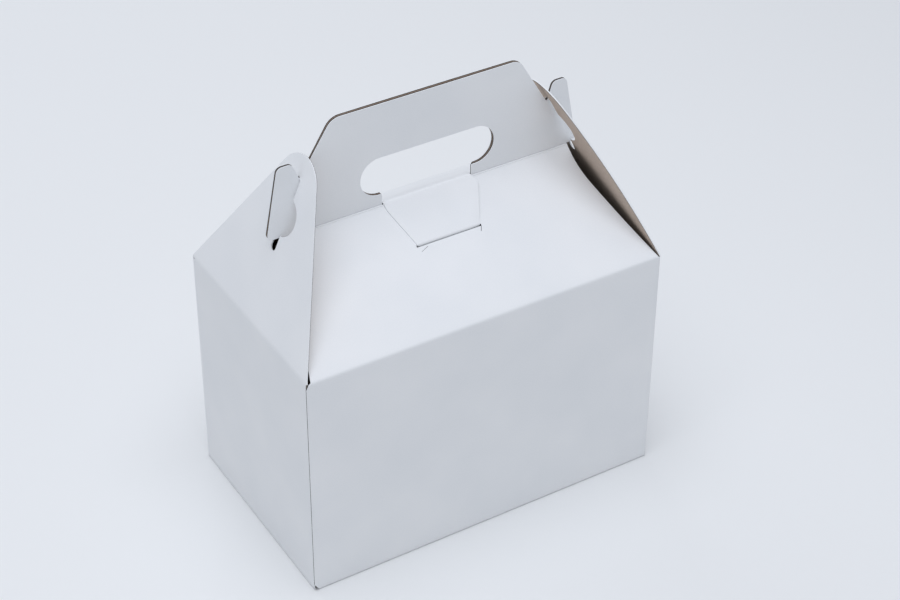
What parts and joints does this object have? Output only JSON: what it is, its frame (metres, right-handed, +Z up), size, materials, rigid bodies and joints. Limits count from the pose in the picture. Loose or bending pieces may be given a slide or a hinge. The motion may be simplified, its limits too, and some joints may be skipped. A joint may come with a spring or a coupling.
{
  "type": "gable box",
  "caption": "Folded board carry box with a sloping roof, a handle with a hand hole, hooked end flaps and a tuck-in lock tongue.",
  "frame": {"origin": "on the surface that the box stands on, under the middle of its bottom", "axes": "+X along the front wall to the right, +Y from the front wall to the rear wall, +Z up"},
  "size_m": [0.2032, 0.1216, 0.2319],
  "materials": {
    "coated_board": "satin white coating outside, brown kraft inside"
  },
  "bodies": {
    "carton": {"carton": "coated_board"},
    "left_end_flap": {"left_end_flap": "coated_board"},
    "right_end_flap": {"right_end_flap": "coated_board"},
    "lock_tongue": {"lock_tongue": "coated_board"}
  },
  "joints": [
    {"name": "left_flap_fold", "type": "hinge", "parent": "carton", "child": "left_end_flap", "pos_m": [-0.1016, 0, 0.1332], "axis": [0, -1, 0], "range_deg": [0, 175]},
    {"name": "right_flap_fold", "type": "hinge", "parent": "carton", "child": "right_end_flap", "pos_m": [0.1016, 0, 0.1332], "axis": [0, 1, 0], "range_deg": [0, 175]},
    {"name": "tongue_fold", "type": "hinge", "parent": "carton", "child": "lock_tongue", "pos_m": [0, 0.0007, 0.1739], "axis": [-1, 0, 0], "range_deg": [0, 124]}
  ]
}
